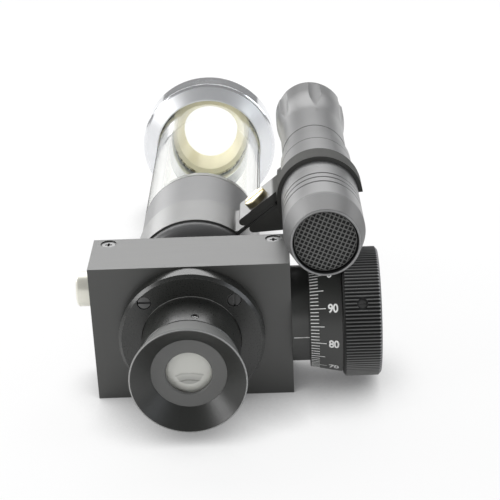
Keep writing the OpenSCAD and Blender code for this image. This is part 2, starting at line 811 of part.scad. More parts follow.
// The clip's two ears lie outside the strap's ears, and its open band goes round the torch
module torch_clip() {
    y_mid = y_clip_screw - y_strap;
    saddle_len = 22;
    color([0.1, 0.1, 0.1]) difference() {
        union() {
            translate([0, y_strap, 0]) on_arm() facing_foot() {
                clip_ear(ear_top_from, -ear_out - ear_gap - ear_t);
                clip_ear(ear_low_from, -ear_in + ear_gap);
                clip_jaw();
            }
            on_torch() translate([0, 0, clip_from]) cylinder(h = clip_band_w, r = clip_r);
            intersection() {
                on_torch() translate([0, 0, clip_from]) cylinder(h = saddle_len, r = clip_r - 0.4);
                translate([0, y_strap, 0]) on_arm() facing_foot()
                    translate([arm_reach - 1.5 * clip_r, -8, -1.5 * clip_r])
                        cube([1.5 * clip_r - 6, 1.5 * clip_r + 2, 1.5 * clip_r + ear_w]);
            }
        }
        on_torch() cylinder(h = t_head, r = clip_bore_r);
        clip_mouth();
        translate([0, y_strap, 0]) on_arm() facing_foot() {
            translate([0, -ear_out - ear_gap, -free_gap])
                cube([arm_reach, 2 * strap_t + 2 * ear_gap, 2 * ear_w]);
            translate([clip_screw_at, 10, y_mid]) rotate([90, 0, 0])
                cylinder(h = 30, r = clip_screw_r + run_fit);
            translate([clip_screw_at, -ear_in + ear_gap + ear_t, y_mid]) rotate([-90, 0, 0])
                cylinder(h = clip_r, r = nut_wide / 2 / cos(30) + 0.3);
        }
    }
}

// One ear of the clip with a round end towards the tube, from its inner or outer face
module clip_ear(from, side) {
    translate([from + ear_t / 2, side, 0]) cube([arm_reach - from - clip_r / 2, ear_t, ear_w]);
    translate([from + ear_t / 2, side + ear_t / 2, 0]) cylinder(h = ear_w, r = ear_t / 2);
}

// The lower ear widens into a jaw whose underside touches the ear's end and the band
module clip_jaw() {
    tip = [ear_low_from + ear_t / 2, -ear_in + ear_gap + ear_t / 2];
    hub = [arm_reach, arm_drop];
    way = hub - tip;
    lean = atan2(way[1], way[0]) + 90 + asin((clip_r - ear_t / 2) / norm(way));
    out = [cos(lean), sin(lean)];
    linear_extrude(ear_w) polygon([
        tip, tip + ear_t / 2 * out, hub + clip_r * out, hub, [arm_reach, tip[1]]]);
}

// The band is open below the torch, on the side away from the arm
module clip_mouth() {
    wide = 3 * clip_r;
    on_torch() translate([0, 0, clip_from - 1]) linear_extrude(clip_band_w + 2) polygon([
        [0, 0], [wide * cos(mouth_from), wide * sin(mouth_from)],
        [wide * cos(mouth_to), wide * sin(mouth_to)]]);
}

// Cheese-head screw through all four ears, square to the arm
module clip_screw() {
    color([0.85, 0.7, 0.35]) clip_screw_place() difference() {
        union() {
            cylinder(h = 0.3, r1 = clip_head_r - 0.3, r2 = clip_head_r);
            translate([0, 0, 0.3]) cylinder(h = clip_head_t - 0.3, r = clip_head_r);
            translate([0, 0, 1]) cylinder(h = clip_head_t + ears_t + 1.5, r = clip_screw_r);
        }
        translate([-5, -0.5, -0.1]) cube([10, 1, 1.1]);
    }
}

module clip_nut() {
    color([0.85, 0.7, 0.35]) clip_screw_place()
        translate([0, 0, clip_head_t + ears_t]) difference() {
            cylinder(h = nut_t, d = nut_wide / cos(30), $fn = 6);
            translate([0, 0, -1]) cylinder(h = nut_t + 2, r = clip_screw_r + seat_fit);
        }
}

// Frame of the clip screw: +Z from the top of its head into the ears
module clip_screw_place() {
    translate([0, y_clip_screw, 0]) on_arm()
        translate([clip_screw_at, 0, ear_out + ear_gap + ear_t + clip_head_t])
            mirror([0, 0, 1]) children();
}

module tail_cap() {
    color([0.2, 0.2, 0.2]) on_torch() difference() {
        rotate_extrude() polygon([
            [button_r + 0.1, 0.25], [button_r + 0.35, 0], [tail_rim_r - 0.25, 0], [tail_rim_r, 0.3],
            [grip_r, tail_taper], [grip_r, t_body], [grip_r - torch_wall, t_body],
            [grip_r - torch_wall, t_switch], [lip_bore_r, t_switch],
            [lip_bore_r, lip_t], [button_r + 0.1, lip_t]]);
        for (t = grooves)
            translate([0, 0, t - groove_w / 2]) rotate_extrude() polygon([
                [grip_r - groove_in, groove_w / 2], [grip_r, 0], [grip_r + 0.1, 0],
                [grip_r + 0.1, groove_w], [grip_r, groove_w]]);
    }
}

module tail_button() {
    rise = 0.7;
    dome = [for (k = [0 : 6]) [button_r * k / 6, button_deep + rise * pow(k / 6, 2)]];
    color([0.2, 0.2, 0.2]) on_torch() rotate_extrude() polygon(concat(dome, [
        [button_r, lip_t + free_gap], [lip_bore_r - free_gap, lip_t + free_gap],
        [lip_bore_r - free_gap, lip_t + free_gap + 0.6], [4, lip_t + free_gap + 0.6],
        [4, t_press], [0, t_press]]));
}

module button_spring() {
    color([0.7, 0.7, 0.7]) on_torch()
        translate([0, 0, t_press + 0.05]) coil(2.6, 0.3, t_spring - t_press - 0.1, 4);
}

module switch_module() {
    color([0.25, 0.25, 0.28]) on_torch() difference() {
        translate([0, 0, t_switch + 0.05])
            cylinder(h = t_cell - t_switch - 0.1, r = grip_r - torch_wall - seat_fit);
        translate([0, 0, t_switch - 1]) cylinder(h = t_spring - t_switch + 1, r = 5.2);
    }
}

module torch_body() {
    color([0.2, 0.2, 0.2]) on_torch() rotate_extrude() polygon([
        [grip_r - torch_wall, t_body], [grip_r, t_body], [grip_r, t_slim], [ring_r, t_slim + 0.8],
        [ring_r, t_line - 0.3], [ring_r - 0.2, t_line], [ring_r, t_line + 0.3],
        [ring_r, t_ring], [body_r, t_ring + 0.9], [body_r, t_head], [power_cell_r + 0.3, t_head],
        [power_cell_r + 0.3, t_body + 1], [grip_r - torch_wall, t_body + 1]]);
}

module torch_cell() {
    color([0.75, 0.75, 0.7]) on_torch() {
        translate([0, 0, t_cell]) cylinder(h = power_cell_len, r = power_cell_r);
        translate([0, 0, t_cell + power_cell_len - 0.5]) cylinder(h = contact_t + 0.5, r = 3);
    }
}

// The head flares towards the front and carries flutes that fade out where the flare begins
module torch_head() {
    start_r = body_r + 0.3;
    cut_at = start_r + flute_r;
    flare = [for (k = [0 : 8])
        [start_r + (torch_head_r - start_r) * (1 - cos(22.5 * k)) / 2, t_flare + flare_len * k / 8]];
    color([0.2, 0.2, 0.2]) on_torch() difference() {
        rotate_extrude() polygon(concat(
            [[power_cell_r + 0.3, t_head], [body_r - 0.1, t_head], [body_r + 0.15, t_head + 0.3]],
            flare,
            [[torch_head_r, t_front], [lamp_room_r, t_front], [lamp_room_r, t_lamp],
            [lamp_stem_r, t_lamp], [lamp_stem_r, t_head + cell_room],
            [power_cell_r + 0.3, t_head + cell_room]]));
        for (i = [0 : flutes - 1])
            rotate([0, 0, (i + 0.65) * 360 / flutes])
                translate([cut_at, 0, t_flare])
                    cylinder(h = torch_len - t_flare, r1 = flute_r, r2 = cut_at - torch_head_r + flute_in);
    }
}

module torch_bezel() {
    lip_r = bezel_bore_r - 0.4;
    rim_r = torch_head_r - flute_in - 0.05;
    color([0.16, 0.16, 0.16]) on_torch() rotate_extrude() polygon([
        [bezel_bore_r, t_front], [rim_r, t_front], [rim_r, torch_len - 0.5],
        [rim_r - 0.5, torch_len], [lip_r, torch_len], [lip_r, t_front + 0.4 + glass_t],
        [bezel_bore_r, t_front + 0.4 + glass_t]]);
}

module torch_glass() {
    color([0.85, 0.92, 0.95, 0.4]) on_torch()
        translate([0, 0, t_front + 0.4]) cylinder(h = glass_t, r = bezel_bore_r - seat_fit);
}

// A bowl whose radius grows with the root of its depth, open round the light chip
module reflector() {
    wall = 0.8;
    t_bowl = t_lamp + lamp_t + seat_fit;
    depth = t_front - t_bowl;
    inner_r = chip_r + 0.9;
    mouth_r = lamp_room_r - seat_fit - wall;
    bowl = [for (k = [0 : 8])
        [sqrt(pow(inner_r, 2) + (pow(mouth_r, 2) - pow(inner_r, 2)) * k / 8), t_bowl + depth * k / 8]];
    shell = [for (k = [8 : -1 : 0]) bowl[k] + [wall, 0]];
    color([0.9, 0.9, 0.9]) on_torch() rotate_extrude() polygon(concat(bowl, shell));
}

module light_module() {
    color([0.8, 0.75, 0.4]) on_torch() {
        translate([0, 0, t_head + cell_room])
            cylinder(h = t_lamp - t_head - cell_room + 0.5, r = lamp_stem_r - seat_fit);
        translate([0, 0, t_lamp + seat_fit]) cylinder(h = lamp_t, r = lamp_room_r - seat_fit);
        translate([0, 0, t_lamp + lamp_t - 0.1]) cylinder(h = chip_t + 0.1, r = chip_r);
    }
}

head_housing();
rear_cover();
cover_screws();
eyepiece_flange();
flange_screws();
eyepiece_barrel();
barrel_set_screw();
lens_cell();
eye_lens();
field_lens();
eyecup();
scale_glass();
guide_rods();
reticle_carriage();
carriage_nut();
line_glass();
return_spring();
spring_plug();
micrometer_sleeve();
lead_spindle();
thimble();
knurled_knob();
knob_set_screw();
drum_end_screw();
tube_neck();
neck_screws();
objective_tube();
objective_cell();
objective_lens();
lens_ring();
light_sleeve();
foot_ring();
aperture_ring();
tube_strap();
torch_clip();
clip_screw();
clip_nut();
tail_cap();
tail_button();
button_spring();
switch_module();
torch_body();
torch_cell();
torch_head();
torch_bezel();
torch_glass();
reflector();
light_module();
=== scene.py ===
"""Measuring microscope lying on a white table, seen from above its eyepiece.
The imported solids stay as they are; this script gives them their finishes and adds the
drum's scale, the index line and the dimpled tail button."""
import math

import bpy
from mathutils import Matrix, Vector


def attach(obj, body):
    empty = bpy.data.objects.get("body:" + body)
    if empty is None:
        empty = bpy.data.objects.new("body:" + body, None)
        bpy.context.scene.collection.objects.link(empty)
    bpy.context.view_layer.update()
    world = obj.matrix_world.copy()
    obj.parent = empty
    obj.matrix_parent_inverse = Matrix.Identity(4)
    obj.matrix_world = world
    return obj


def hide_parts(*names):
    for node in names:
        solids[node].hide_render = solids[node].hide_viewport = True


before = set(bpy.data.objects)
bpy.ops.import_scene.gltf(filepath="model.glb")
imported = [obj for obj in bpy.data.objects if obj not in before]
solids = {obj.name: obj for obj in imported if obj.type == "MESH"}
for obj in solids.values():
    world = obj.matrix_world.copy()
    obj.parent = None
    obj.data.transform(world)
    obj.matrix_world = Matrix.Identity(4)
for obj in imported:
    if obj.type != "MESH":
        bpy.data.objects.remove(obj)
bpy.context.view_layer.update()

# Sizes and places of the solids, in millimetres

MM = 0.001
DRUM_Y, DRUM_Z = -151.6, 0.15
EYE_AXIS = (Vector((0, 0, 0)), Vector((0, 1, 0)))
DRUM_AXIS = (Vector((0, DRUM_Y, DRUM_Z)) * MM, Vector((1, 0, 0)))
PLUG_AXIS = (Vector((0, DRUM_Y, 10.75)) * MM, Vector((1, 0, 0)))
PAD_R, PAD_CROWN = 9.05, 0.7


def torch_frame():
    """The torch's frame: its origin is the middle of the tail rim and +Z runs along it."""
    dip, toe = math.radians(3.7), math.radians(0.64)
    tail = Vector((40.4, -171.7, 32.9)) * MM
    turn = Matrix.Rotation(toe, 4, "Z") @ Matrix.Rotation(-dip, 4, "X")
    return Matrix.Translation(tail) @ turn @ Matrix.Rotation(math.radians(-90), 4, "X")


TORCH = torch_frame()
TORCH_AXIS = (TORCH.translation.copy(), TORCH.to_3x3() @ Vector((0, 0, 1)))


def clip_screw_axis():
    """From the top of the clip screw's head down into the ears."""
    arm, along, up, strap_y = math.radians(38.2), 31.2, 8.55, -120
    out = Vector((math.cos(arm), 0, math.sin(arm)))
    down = Vector((math.sin(arm), 0, -math.cos(arm)))
    return (out * along - down * up + Vector((0, strap_y, 0))) * MM, down


CLIP_SCREW_AXIS = clip_screw_axis()


# Shader values


class Value:
    """An output of a shader node. Arithmetic on it adds Math nodes."""

    def __init__(self, finish, socket):
        self.finish, self.socket = finish, socket

    def _math(self, how, *given, clamp=False):
        """A Math node that takes what is given, in that order."""
        made = self.finish.node("Math", {"operation": how, "use_clamp": clamp})
        for i, item in enumerate(given):
            self.finish.plug(made, i, item)
        return Value(self.finish, made.outputs[0])

    def __add__(self, other):
        return self._math("ADD", self, other)

    __radd__ = __add__

    def __sub__(self, other):
        return self._math("SUBTRACT", self, other)

    def __rsub__(self, other):
        return self._math("SUBTRACT", other, self)

    def __mul__(self, other):
        return self._math("MULTIPLY", self, other)

    __rmul__ = __mul__

    def __truediv__(self, other):
        return self._math("DIVIDE", self, other)

    def __pow__(self, other):
        return self._math("POWER", self, other)

    def root(self):
        return self._math("SQRT", self)

    def most(self, other):
        return self._math("MAXIMUM", self, other)

    def held(self):
        """Kept between 0 and 1."""
        return self._math("ADD", self, 0.0, clamp=True)

    def step(self, low, high):
        """0 below low, 1 above high, smooth between them."""
        made = self.finish.node("MapRange", {"interpolation_type": "SMOOTHSTEP"})
        for name, given in (("Value", self), ("From Min", low), ("From Max", high)):
            self.finish.plug(made, name, given)
        return Value(self.finish, made.outputs[0])

    def band(self, low, rise, fall, high):
        """1 from rise to fall, going down to 0 at low and at high."""
        return self.step(low, rise) * (1 - self.step(fall, high))


class Finish:
    """A material, built up node by node."""

    def __init__(self, name):
        self.material = bpy.data.materials.new(name)
        self.material.use_nodes = True
        self.tree = self.material.node_tree
        self.tree.nodes.clear()
        self.end = self.node("OutputMaterial")

    def node(self, kind, settings=None, **inputs):
        made = self.tree.nodes.new("ShaderNode" + kind)
        for name, given in (settings or {}).items():
            setattr(made, name, given)
        for name, given in inputs.items():
            self.plug(made, name.replace("_", " "), given)
        return made

    def plug(self, made, name, given):
        socket = made.inputs[name]
        if isinstance(given, Value):
            self.tree.links.new(given.socket, socket)
        elif isinstance(given, bpy.types.NodeSocket):
            self.tree.links.new(given, socket)
        else:
            socket.default_value = given

    def value(self, made, name=0):
        return Value(self, made.outputs[name])

    # places

    def place(self):
        """Where a point is, in metres."""
        return self.node("TexCoord").outputs["Object"]

    def vector(self, how, *given):
        made = self.node("VectorMath", {"operation": how})
        for i, item in enumerate(given):
            self.plug(made, i, item)
        return made

    def turned(self, axis):
        """How far a point is along an axis and how far from it, in millimetres."""
        start, way = axis
        out = self.vector("SUBTRACT", self.place(), tuple(start)).outputs[0]
        along = self.value(self.vector("DOT_PRODUCT", out, tuple(way)), "Value")
        foot = self.vector("SCALE", tuple(way))
        self.plug(foot, "Scale", along)
        off = self.vector("SUBTRACT", out, foot.outputs[0]).outputs[0]
        far = self.value(self.vector("LENGTH", off), "Value")
        return along * 1000, far * 1000

    def noise(self, where, scale, detail=3.0, rough=0.5):
        made = self.node("TexNoise", Vector=where, Scale=scale, Detail=detail, Roughness=rough)
        return self.value(made)

    def stretched(self, x, y, z):
        """The place, squeezed along its axes, so that a noise in it becomes a grain."""
        return self.node("Mapping", Vector=self.place(), Scale=(x, y, z)).outputs[0]

    # colours

    def mix(self, share, first, second):
        made = self.node("Mix", {"data_type": "RGBA"})
        self.plug(made, 0, share)
        self.plug(made, 6, first)
        self.plug(made, 7, second)
        return made.outputs[2]

    def shade(self, colour, share, low=0.8, high=1.2):
        """The colour made darker and lighter by a value from 0 to 1."""
        dark = tuple(c * low for c in colour[:3]) + (1,)
        light = tuple(min(1, c * high) for c in colour[:3]) + (1,)
        return self.mix(share, dark, light)

    # edges and bumps

    def edges(self, radius):
        """1 on the edges, where wear and a painted edge highlight go, 0 on the faces."""
        round_ = self.node("Bevel", {"samples": 4}, Radius=radius * MM)
        flat = self.node("NewGeometry").outputs["Normal"]
        same = self.value(self.vector("DOT_PRODUCT", round_.outputs[0], flat), "Value")
        return (1 - same).step(0.05, 0.3)

    def bump(self, height, depth, soft=None):
        made = self.node("Bump", Height=height, Distance=depth * MM, Strength=1.0)
        if soft:
            round_ = self.node("Bevel", {"samples": 4}, Radius=soft * MM)
            self.plug(made, "Normal", round_.outputs[0])
        return made.outputs[0]

    # shaders

    def blend(self, share, first, second):
        """Two shaders, with so great a share of the second."""
        made = self.node("MixShader")
        self.plug(made, 0, share)
        self.plug(made, 1, first.outputs[0])
        self.plug(made, 2, second.outputs[0])
        return made

    def done(self, shader):
        """The material, showing this shader."""
        self.plug(self.end, 0, shader.outputs[0])
        return self.material

    def surface(self, **inputs):
        return self.done(self.node("BsdfPrincipled", None, **inputs))


def wide(r, g, b):
    """A colour with its alpha."""
    return (r, g, b, 1.0)


def grey(tone):
    return wide(tone, tone, tone)


# Finishes


def black_turned(
    name, axis, colour, rough, lines=0.5, soft=0.12, gloss=0.7, bright=0.35, tune=None
):
    """Black anodised aluminium with the fine rings that turning leaves round an axis. Its edges
    are softened by soft millimetres and lightened by so much as bright says, partly as wear and
    partly as a painted edge highlight, and tune adds what one piece alone has, painted highlights
    and shade among it."""
    f = Finish(name)
    along, far = f.turned(axis)
    spot = f.node("CombineXYZ", X=along, Y=far, Z=0.0).outputs[0]
    rings = f.noise(spot, 3.5, 5.0, 0.75)
    cloud = f.noise(f.place(), 90.0, 3.0)
    grain = f.noise(f.place(), 2600.0, 2.0)
    wear_and_edge_highlight = f.edges(soft)
    base = f.shade(colour, (cloud * 0.6 + rings * 0.4).held(), 0.8, 1.25)
    # painted edge highlight together with wear: the edges are mixed towards light grey
    base = f.mix((wear_and_edge_highlight * bright).held(), base, wide(0.42, 0.42, 0.41))
    if tune:
        base, rough = tune(f, along, far, base, rough)
    return f.surface(
        Base_Color=base,
        Roughness=(rough + (rings - 0.5) * 0.2 * lines + (grain - 0.5) * 0.06).held(),
        Specular_IOR_Level=gloss,
        Normal=f.bump(rings * lines + grain * 0.1, 0.01, soft),
    )


def cup_outside(f, along, far, base, rough):
    """The eyecup's outer cone is duller than its hollow and lighter, a painted highlight, and its
    rim has a painted bright line.
    """
    mouth_r, mouth_y, flare = 17, -190.75, 0.262
    outer = (far - mouth_r + (along - mouth_y) * flare).step(-0.35, -0.2)
    rim = far.step(16.55, 16.65) * (1 - along.step(-190.9, -190.7))
    # painted highlight: the outer cone is made lighter than the hollow
    base = f.mix(outer, base, wide(0.12, 0.122, 0.118))
    # painted highlight: a bright line round the rim
    return f.mix((rim * 0.7).held(), base, wide(0.5, 0.5, 0.49)), rough + outer * 0.14


def bore_edge(f, along, far, base, rough):
    """A painted highlight: a bright line along the top of the flange's bore, round the barrel."""
    up = f.value(f.node("SeparateXYZ", Vector=f.place()), 2) * 1000
    # painted highlight, on the top side only
    line = far.band(14.84, 14.88, 15.0, 15.04) * up.step(6.0, 12.0)
    return f.mix(line, base, wide(0.7, 0.7, 0.68)), rough


def tail_rim(f, along, far, base, rough):
    """The torch's tail: a painted highlight on its lip and painted shade down its bore, on a
    darker, duller taper.
    """
    lip = 1 - along.step(0.12, 0.3)
    taper = 1 - along.step(9.5, 11.0)
    base = f.mix((taper * 0.85).held(), base, grey(0.02))
    # painted shade: the bore is made near black
    bore = (1 - far.step(9.5, 9.6)) * (1 - along.step(3.0, 4.0))
    # painted highlight on the lip
    base = f.mix((lip * 0.6).held(), base, grey(0.4))
    return f.mix(bore, base, grey(0.004)), rough + taper * 0.18


def ribbed_black():
    """The knob: painted shade between its ribs, and a painted highlight along their crests and on
    the chamfer at its end.
    """
    f = Finish("knob_black")
    along, far = f.turned(DRUM_AXIS)
    grain = f.noise(f.place(), 2600.0, 2.0)
    cloud = f.noise(f.place(), 120.0, 3.0)
    crest = far.step(19.36, 19.62)
    chamfer_highlight = (along + far).step(75.3, 75.6)
    # painted shade in the valleys, painted highlight on the crests
    base = f.mix(crest, grey(0.002), wide(0.17, 0.172, 0.168))
    # painted highlight on the end chamfer
    base = f.mix(chamfer_highlight, base, wide(0.42, 0.42, 0.43))
    base = f.mix((cloud * 0.15).held(), base, grey(0.03))
    return f.surface(
        Base_Color=base,
        Roughness=(0.55 - crest * 0.2 + (grain - 0.5) * 0.1).held(),
        Specular_IOR_Level=0.7,
        Normal=f.bump(grain, 0.01),
    )


def head_satin():
    """Charcoal satin on the head box: fine milling lines along X under a grainy coat."""
    f = Finish("charcoal_satin")
    lines = f.noise(f.stretched(60, 2600, 2600), 1.0, 4.0, 0.6)
    grain = f.noise(f.place(), 3200.0, 2.0)
    cloud = f.noise(f.place(), 45.0, 3.0)
    wear_and_edge_highlight = f.edges(0.2)
    base = f.shade((0.03, 0.031, 0.028), (cloud * 0.5 + lines * 0.5).held(), 0.82, 1.2)
    # the edges lighter: partly wear, partly a painted edge highlight
    base = f.mix((wear_and_edge_highlight * 0.4).held(), base, wide(0.2, 0.2, 0.195))
    return f.surface(
        Base_Color=base,
        Roughness=(0.36 + (lines - 0.5) * 0.14 + (grain - 0.5) * 0.08).held(),
        Specular_IOR_Level=0.95,
        Normal=f.bump(lines * 0.5 + grain * 0.5, 0.008, 0.15),
    )


def clip_coat():
    """Matt black on the torch clip's band, satin on its ears and on the strap."""
    f = Finish("clip_black_coat")
    grain = f.noise(f.place(), 2400.0, 3.0, 0.6)
    cloud = f.noise(f.place(), 120.0, 3.0)
    along, far = f.turned(TORCH_AXIS)
    ears = far.step(14.0, 15.2)
    wear_and_edge_highlight = f.edges(0.12)
    base = f.shade((0.058, 0.058, 0.055), cloud, 0.75, 1.3)
    # the edges lighter, most on the ears: partly wear, partly a painted edge highlight
    base = f.mix((wear_and_edge_highlight * (0.12 + ears * 0.3)).held(), base, wide(0.12, 0.12, 0.115))
    return f.surface(
        Base_Color=base,
        Roughness=(0.75 - ears * 0.3 + (grain - 0.5) * 0.2).held(),
        Specular_IOR_Level=0.2,
        Coat_Weight=ears,
        Coat_Roughness=0.32,
        Coat_IOR=1.62,
        Normal=f.bump(grain, 0.01, 0.12),
    )


def bare_metal(name, axis, colour, rough, lines=0.6, soft=0.12, stain=0.15, metal=1.0):
    """Turned bare or plated metal: rings round the axis, soft clouds and brighter edges."""
    f = Finish(name)
    along, far = f.turned(axis)
    spot = f.node("CombineXYZ", X=along, Y=far, Z=0.0).outputs[0]
    rings = f.noise(spot, 4.5, 5.0, 0.8)
    cloud = f.noise(f.place(), 160.0, 4.0, 0.6)
    base = f.shade(colour, (rings * 0.4 + cloud * 0.6).held(), 1 - stain, 1 + stain * 0.7)
    return f.surface(
        Base_Color=base,
        Metallic=metal,
        Roughness=(rough + (rings - 0.5) * 0.2 * lines + (cloud - 0.5) * 0.08).held(),
        Normal=f.bump(rings * lines, 0.008, soft),
    )


def foot_plate():
    """The foot's chrome: mirror-like round its outer rim, softer on the cone and the face."""
    f = Finish("foot_chrome")
    along, far = f.turned(EYE_AXIS)
    cloud = f.noise(f.place(), 160.0, 4.0, 0.6)
    cone = 1 - far.step(24.3, 25.7)
    return f.surface(
        Base_Color=f.shade((0.86, 0.87, 0.89), cloud, 0.93, 1.05),
        Metallic=(0.9 - cone * 0.15).held(),
        Roughness=(0.09 + cone * 0.26 + (cloud - 0.5) * 0.05).held(),
        Normal=f.bump(cloud, 0.004, 0.2),
    )


def clip_brass():
    """Pale brass of the clip's screw: duller round the side of its head, and darker there, a
    painted shade for the dark arm it reflects.
    """
    f = Finish("screw_brass")
    along, far = f.turned(CLIP_SCREW_AXIS)
    cloud = f.noise(f.place(), 700.0, 4.0, 0.6)
    side = far.step(3.45, 3.75) * along.step(-0.4, -0.1)
    base = f.shade((0.92, 0.85, 0.6), cloud, 0.85, 1.08)
    # painted shade round the side of the head
    base = f.mix((side * 0.8).held(), base, wide(0.16, 0.13, 0.07))
    return f.surface(
        Base_Color=base,
        Metallic=1.0,
        Roughness=(0.28 + side * 0.15 + (cloud - 0.5) * 0.12).held(),
        Normal=f.bump(cloud, 0.01, 0.1),
    )


def clear(name, colour, rough, ior, haze=0.0, gloss=0.5, calm=False):
    """Glass or acrylic: clear to the camera, and it lets the light through to what is in it.
    A calm one mirrors only where its wall turns all the light back."""
    f = Finish(name)
    faint = f.noise(f.place(), 70.0, 3.0)
    wipe = f.noise(f.stretched(900, 40, 900), 1.0, 3.0)
    body = f.node(
        "BsdfPrincipled",
        None,
        Base_Color=f.shade(colour, faint, 0.97, 1.03),
        Roughness=(rough + (wipe - 0.5) * rough).held(),
        IOR=ior,
        Specular_IOR_Level=gloss,
        Transmission_Weight=1.0 - haze,
    )
    if calm:
        inside = f.value(f.node("NewGeometry"), "Backfacing")
        slant = f.value(f.node("LayerWeight", Blend=0.5), "Facing")
        through = f.node("BsdfRefraction", None, Color=wide(*colour), Roughness=rough, IOR=ior)
        body = f.blend(1 - inside * slant.step(0.22, 0.26), body, through)
    ray = f.node("LightPath")
    light = f.value(ray, "Is Shadow Ray").most(f.value(ray, "Is Diffuse Ray"))
    return f.done(f.blend(light, body, f.node("BsdfTransparent", None, Color=wide(*colour))))


def eye_lens_look():
    """The eye lens: milky, with painted light in its colour: lighter towards the top as a painted
    view of the lit field and tube behind it, dark curved bands as painted reflections, and a
    painted bright rim round its lower edge.
    """
    f = Finish("eye_lens_glass")
    split = f.node("SeparateXYZ", Vector=f.place())
    across, up = f.value(split, 0) * 1000, f.value(split, 2) * 1000
    soft = f.noise(f.place(), 260.0, 3.0)
    bow = up + across * across * 0.045 + (soft - 0.5) * 1.2
    # painted light: lighter towards the top, with dark bands as painted reflections
    light = bow.step(-3.2, 0.6) * 0.45 + 0.56
    bands = bow.band(-1.1, -0.7, -0.7, -0.2) + bow.band(-3.2, -2.9, -2.9, -2.4)
    # painted highlight: a bright rim round the lower edge
    rim = (across * across + up * up).root().step(4.0, 4.7) * (1 - up.step(-2.4, -0.4))
    tone = (light - bands * 0.26 + rim * 0.6).held()
    base = f.mix(tone, wide(0.07, 0.07, 0.06), wide(0.9, 0.9, 0.84))
    return f.surface(
        Base_Color=base,
        Roughness=(0.05 + soft * 0.05).held(),
        IOR=1.52,
        Transmission_Weight=0.25,
        Coat_Weight=0.6,
        Coat_Roughness=0.03,
    )


def moulded(name, colour, rough, grain_size=900.0, depth=0.015, coat=0.0):
    """Moulded plastic or rubber with a fine skin."""
    f = Finish(name)
    skin = f.noise(f.place(), grain_size, 3.0, 0.55)
    cloud = f.noise(f.place(), 80.0, 3.0)
    return f.surface(
        Base_Color=f.shade(colour, (cloud * 0.7 + skin * 0.3).held(), 0.88, 1.1),
        Roughness=(rough + (skin - 0.5) * 0.15).held(),
        Coat_Weight=coat,
        Normal=f.bump(skin, depth, 0.2),
    )


def pad_rubber():
    """Rubber of the tail button: grey on its net, with painted shade down in its pits and round
    its rim.
    """
    f = Finish("pad_rubber")
    skin = f.noise(f.place(), 2500.0, 3.0, 0.55)
    along, far = f.turned(TORCH_AXIS)
    rim = far.step(PAD_R - 0.12, PAD_R)
    net = 0.7 + PAD_CROWN * (far / PAD_R) ** 2
    deep = (along - net).step(0.05, 0.3)
    # painted shade in the pits and in the gap round the rim
    base = f.mix(deep.most(rim), wide(0.14, 0.141, 0.136), wide(0.012, 0.012, 0.012))
    return f.surface(
        Base_Color=base,
        Roughness=(0.5 + deep * 0.3 + (skin - 0.5) * 0.15).held(),
        Normal=f.bump(skin, 0.012),
    )


def scale_paint():
    """White engraving paint, a little uneven."""
    f = Finish("white_scale_paint")
    patch = f.noise(f.place(), 2200.0, 3.0)
    return f.surface(
        Base_Color=f.shade((0.98, 0.98, 0.96), patch, 0.95, 1.02),
        Roughness=0.5,
        Normal=f.bump(patch, 0.01),
    )


# bright sets how much the edges are lightened: partly wear, partly a painted edge highlight
eye_black = black_turned(
    "eyepiece_black", EYE_AXIS, (0.02, 0.021, 0.019), 0.28, 0.12, bright=0.8, tune=bore_edge
)
cup_black = black_turned(
    "eyecup_black", EYE_AXIS, (0.018, 0.019, 0.017), 0.36, 0.9, bright=0.9, tune=cup_outside
)
cell_black = black_turned("lens_cell_black", EYE_AXIS, (0.12, 0.121, 0.117), 0.5, 0.4)
tube_black = black_turned("tube_black", EYE_AXIS, (0.13, 0.13, 0.132), 0.36)
drum_black = black_turned("drum_black", DRUM_AXIS, (0.024, 0.025, 0.023), 0.38, 0.4)
torch_black = black_turned(
    "torch_black", TORCH_AXIS, (0.1, 0.1, 0.101), 0.31, 0.2, 0.1, 1.0, bright=0.5, tune=tail_rim
)
knob_black = ribbed_black()
box_black = head_satin()
coat_black = clip_coat()
foot_chrome = foot_plate()
plug_nickel = bare_metal(
    "plug_nickel", PLUG_AXIS, (0.95, 0.92, 0.82), 0.36, 1.0, stain=0.12, metal=0.4
)
screw_brass = clip_brass()
part_brass = bare_metal("brass", DRUM_AXIS, (0.8, 0.62, 0.3), 0.3)
steel = bare_metal("steel", DRUM_AXIS, (0.6, 0.6, 0.6), 0.25)
black_screw = bare_metal("black_screw", EYE_AXIS, (0.17, 0.17, 0.17), 0.3)
machined = bare_metal("machined_aluminium", DRUM_AXIS, (0.72, 0.72, 0.73), 0.35)
mirror = bare_metal("reflector_coating", TORCH_AXIS, (0.9, 0.9, 0.9), 0.06, 0.2)
lens_glass = clear("coated_glass", (0.93, 0.96, 0.95), 0.02, 1.52, haze=0.25)
eye_glass = eye_lens_look()
acrylic = clear("clear_acrylic", (0.995, 0.998, 0.985), 0.015, 1.49, gloss=0.1, calm=True)
ivory = moulded("ivory_plastic", (0.74, 0.69, 0.49), 0.35, 700.0, 0.006, coat=0.2)
rubber = moulded("tail_rubber", (0.045, 0.046, 0.045), 0.55, 1500.0, 0.02)
pad_black = pad_rubber()
switch_plastic = moulded("switch_plastic", (0.05, 0.05, 0.055), 0.5)
cell_wrap = moulded("cell_wrap", (0.1, 0.25, 0.5), 0.3, 400.0, 0.005, coat=0.5)
paint = scale_paint()

